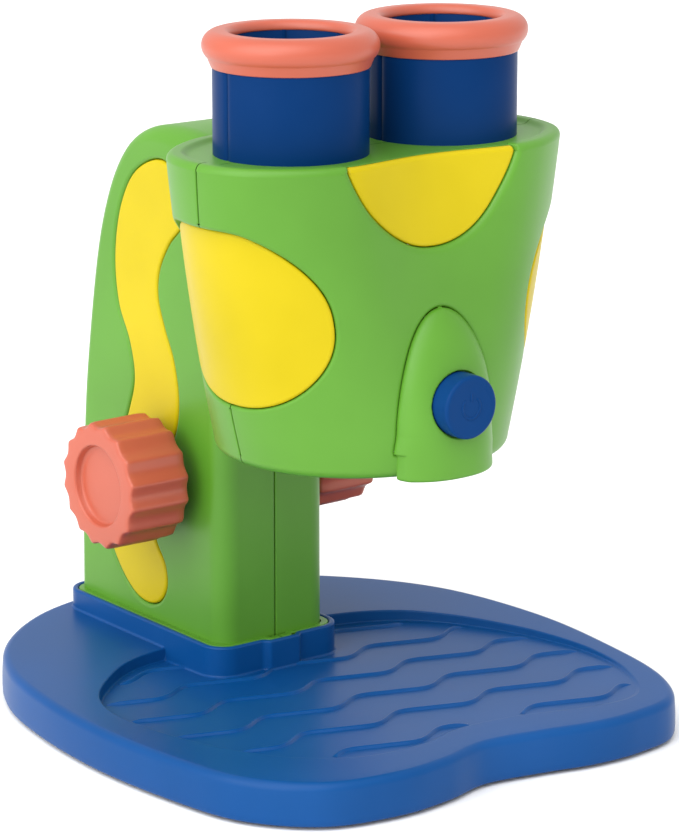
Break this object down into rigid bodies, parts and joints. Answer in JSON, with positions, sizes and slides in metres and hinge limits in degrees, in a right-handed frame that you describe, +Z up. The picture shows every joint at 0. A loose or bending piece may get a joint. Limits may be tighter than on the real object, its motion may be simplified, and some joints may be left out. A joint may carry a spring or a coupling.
{
  "type": "children's binocular microscope",
  "caption": "Children's binocular microscope with a broad tray base, a focusing head on a hollow column, two eyepieces, side focus knobs and a push-button lamp.",
  "frame": {"origin": "centre of the bounding box in plan, at the table the rubber feet stand on", "axes": "+Z up, -Y toward the user in front of the head, +X to the right when seen from the front"},
  "size_m": [0.1764, 0.199, 0.2172],
  "materials": {
    "base_blue": "satin moulded blue",
    "column_green": "satin-gloss moulded green",
    "panel_yellow": "satin-gloss moulded yellow",
    "tube_blue": "satin-gloss moulded deep blue",
    "ring_coral": "satin moulded coral",
    "button_blue": "glossy moulded blue",
    "screw_steel": "plated screws and shaft",
    "white_nylon": "natural nylon",
    "black_plastic": "black moulding",
    "foot_rubber": "soft rubber",
    "lens_clear": "clear moulded lens",
    "cell_metal": "plain metal battery case",
    "contact_metal": "plated spring steel",
    "board_green": "printed circuit board",
    "lead_red": "red insulated lead"
  },
  "bodies": {
    "stand": {"base_shell": "base_blue", "base_bottom_cover": "base_blue", "rubber_feet": "foot_rubber", "cover_screws": "screw_steel", "foot_screws": "screw_steel", "column_left_shell": "column_green", "column_right_shell": "column_green", "column_screws": "screw_steel", "column_panel_left": "panel_yellow", "column_panel_right": "panel_yellow", "shaft_bush_left": "white_nylon", "shaft_bush_right": "white_nylon", "battery_tray": "black_plastic", "batteries": "cell_metal", "battery_contacts": "contact_metal", "battery_lead": "lead_red", "lamp_lead": "lead_red"},
    "door": {"battery_door": "column_green", "battery_door_screw": "screw_steel"},
    "focus_drive": {"focus_shaft": "screw_steel", "pinion": "white_nylon", "knob_left": "ring_coral", "knob_right": "ring_coral"},
    "head": {"carriage": "column_green", "carriage_screws": "screw_steel", "head_front_shell": "column_green", "head_rear_shell": "column_green", "head_screws": "screw_steel", "badge_panel": "panel_yellow", "head_panel_left": "panel_yellow", "head_panel_right": "panel_yellow", "eyepiece_tubes_front": "tube_blue", "eyepiece_tubes_rear": "tube_blue", "eye_ring_left": "ring_coral", "eye_ring_right": "ring_coral", "eye_lens_left": "lens_clear", "eye_lens_right": "lens_clear", "objective_barrel": "black_plastic", "objective_lens": "lens_clear", "lamp_pod": "column_green", "switch_board": "board_green", "push_switch": "black_plastic", "lamp_holder": "white_nylon", "lamp_led": "lens_clear", "head_lead": "lead_red"},
    "button": {"light_button": "button_blue"}
  },
  "joints": [
    {"name": "focus_turn", "type": "hinge", "parent": "stand", "child": "focus_drive", "pos_m": [-0.005, 0.0385, 0.07], "axis": [1, 0, 0], "range_deg": [-76.5, 76.5]},
    {"name": "head_slide", "type": "slide", "parent": "stand", "child": "head", "axis": [0, 0, 1], "range_m": [-0.008, 0.008], "deforming": ["lamp_lead"]},
    {"name": "button_press", "type": "slide", "parent": "head", "child": "button", "axis": [0, 1, 0], "range_m": [0, 0.002], "stiffness_N_per_m": 600, "springref_m": -0.0005},
    {"name": "door_lift_off", "type": "slide", "parent": "stand", "child": "door", "axis": [0, 1, 0], "range_m": [0, 0.03]}
  ],
  "couplings": [
    {"joint": "focus_turn", "follows": "head_slide", "rad_per_m": -166.67}
  ]
}
